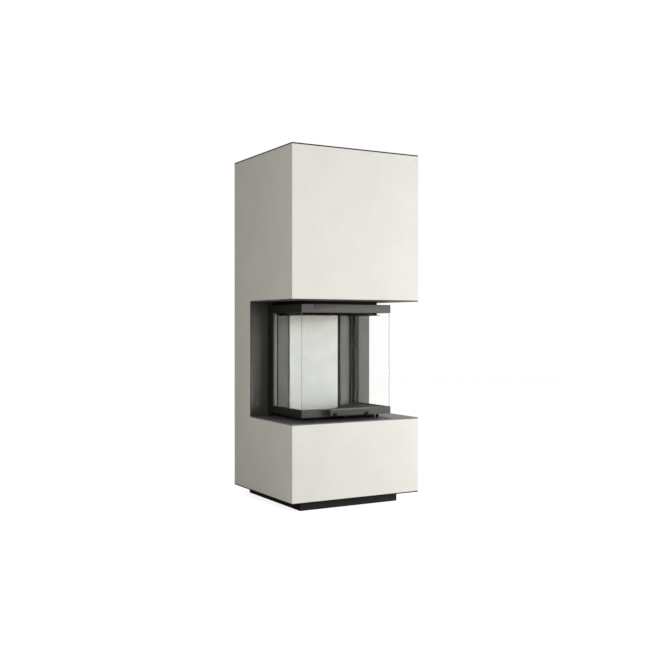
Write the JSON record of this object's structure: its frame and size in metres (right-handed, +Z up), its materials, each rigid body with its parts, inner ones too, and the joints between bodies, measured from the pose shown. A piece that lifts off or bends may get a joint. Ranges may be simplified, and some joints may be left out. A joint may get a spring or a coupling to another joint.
{
  "type": "three-sided fireplace",
  "caption": "Wood fireplace in a clad body with a recess open on three sides, and a U-shaped glass door that lifts into the upper box on counterweights.",
  "frame": {"origin": "on the floor, under the middle of the clad body", "axes": "+Z up, -Y is the front that faces the room, +X to the right as seen from the front"},
  "size_m": [0.72, 0.663, 1.79],
  "materials": {
    "cladding": "matte",
    "dark_sheet": "satin",
    "door_steel": "satin",
    "black_steel": "matte",
    "zinc_sheet": "satin",
    "bright_steel": "satin",
    "cast_iron": "matte",
    "white_lining": "matte",
    "grey_lining": "matte",
    "baffle_board": "matte",
    "rubber": "matte",
    "clear_glass": "polished"
  },
  "bodies": {
    "root": {"bottom_plate": "dark_sheet", "top_plate": "dark_sheet", "lower_front_panel": "cladding", "upper_front_panel": "cladding", "left_side_panel": "cladding", "right_side_panel": "cladding", "rear_panel": "zinc_sheet", "plinth_frame": "black_steel", "levelling_foot_front_left": "zinc_sheet", "levelling_foot_front_right": "zinc_sheet", "levelling_foot_rear_left": "zinc_sheet", "levelling_foot_rear_right": "zinc_sheet", "recess_floor_plate": "dark_sheet", "recess_ceiling_plate": "dark_sheet", "recess_back_plate_left": "dark_sheet", "recess_back_plate_right": "dark_sheet", "rear_post_left": "zinc_sheet", "rear_post_right": "zinc_sheet", "upper_arm_left": "zinc_sheet", "upper_arm_right": "zinc_sheet", "firebox_base": "black_steel", "firebox_top": "black_steel", "hearth_tray": "cast_iron", "back_lining": "white_lining", "side_lining_left": "grey_lining", "side_lining_right": "grey_lining", "door_guide_left": "black_steel", "door_guide_right": "black_steel", "back_shell": "black_steel", "front_lintel": "black_steel", "smoke_hood": "black_steel", "lower_baffle": "baffle_board", "upper_baffle": "baffle_board", "flue_pipe": "black_steel", "air_inlet_pipe": "zinc_sheet", "pulley_axle_left": "bright_steel", "pulley_axle_right": "bright_steel", "pulley_bracket_left": "zinc_sheet", "pulley_bracket_right": "zinc_sheet", "lift_cable_left": "bright_steel", "lift_cable_right": "bright_steel"},
    "door": {"door_bottom_bar": "door_steel", "door_top_bar": "door_steel", "front_glass": "clear_glass", "left_glass": "clear_glass", "right_glass": "clear_glass", "rear_stile_left": "door_steel", "rear_stile_right": "door_steel", "carriage_left": "bright_steel", "carriage_right": "bright_steel", "door_buffer_left": "rubber", "door_buffer_right": "rubber", "handle_bar": "door_steel", "handle_standoff_left": "black_steel", "handle_standoff_right": "black_steel"},
    "counterweight_left": {"counterweight_left": "cast_iron"},
    "counterweight_right": {"counterweight_right": "cast_iron"},
    "pulley_left": {"pulley_left": "bright_steel"},
    "pulley_right": {"pulley_right": "bright_steel"},
    "air_slider": {"air_slider": "black_steel"}
  },
  "joints": [
    {"name": "door_lift", "type": "slide", "parent": "root", "child": "door", "axis": [0, 0, 1], "range_m": [0, 0.51], "deforming": ["lift_cable_left", "lift_cable_right"]},
    {"name": "counterweight_left_drop", "type": "slide", "parent": "root", "child": "counterweight_left", "axis": [0, 0, 1], "range_m": [-0.51, 0]},
    {"name": "counterweight_right_drop", "type": "slide", "parent": "root", "child": "counterweight_right", "axis": [0, 0, 1], "range_m": [-0.51, 0]},
    {"name": "pulley_left_turn", "type": "hinge", "parent": "root", "child": "pulley_left", "pos_m": [-0.246, 0.174, 1.62], "axis": [-1, 0, 0], "range_deg": [0, 490]},
    {"name": "pulley_right_turn", "type": "hinge", "parent": "root", "child": "pulley_right", "pos_m": [0.246, 0.174, 1.62], "axis": [-1, 0, 0], "range_deg": [0, 490]},
    {"name": "air_slider_slide", "type": "slide", "parent": "root", "child": "air_slider", "axis": [1, 0, 0], "range_m": [-0.085, 0.04]}
  ],
  "couplings": [
    {"joint": "counterweight_left_drop", "follows": "door_lift", "ratio": -1},
    {"joint": "counterweight_right_drop", "follows": "door_lift", "ratio": -1},
    {"joint": "pulley_left_turn", "follows": "door_lift", "rad_per_m": 16.667},
    {"joint": "pulley_right_turn", "follows": "door_lift", "rad_per_m": 16.667}
  ]
}
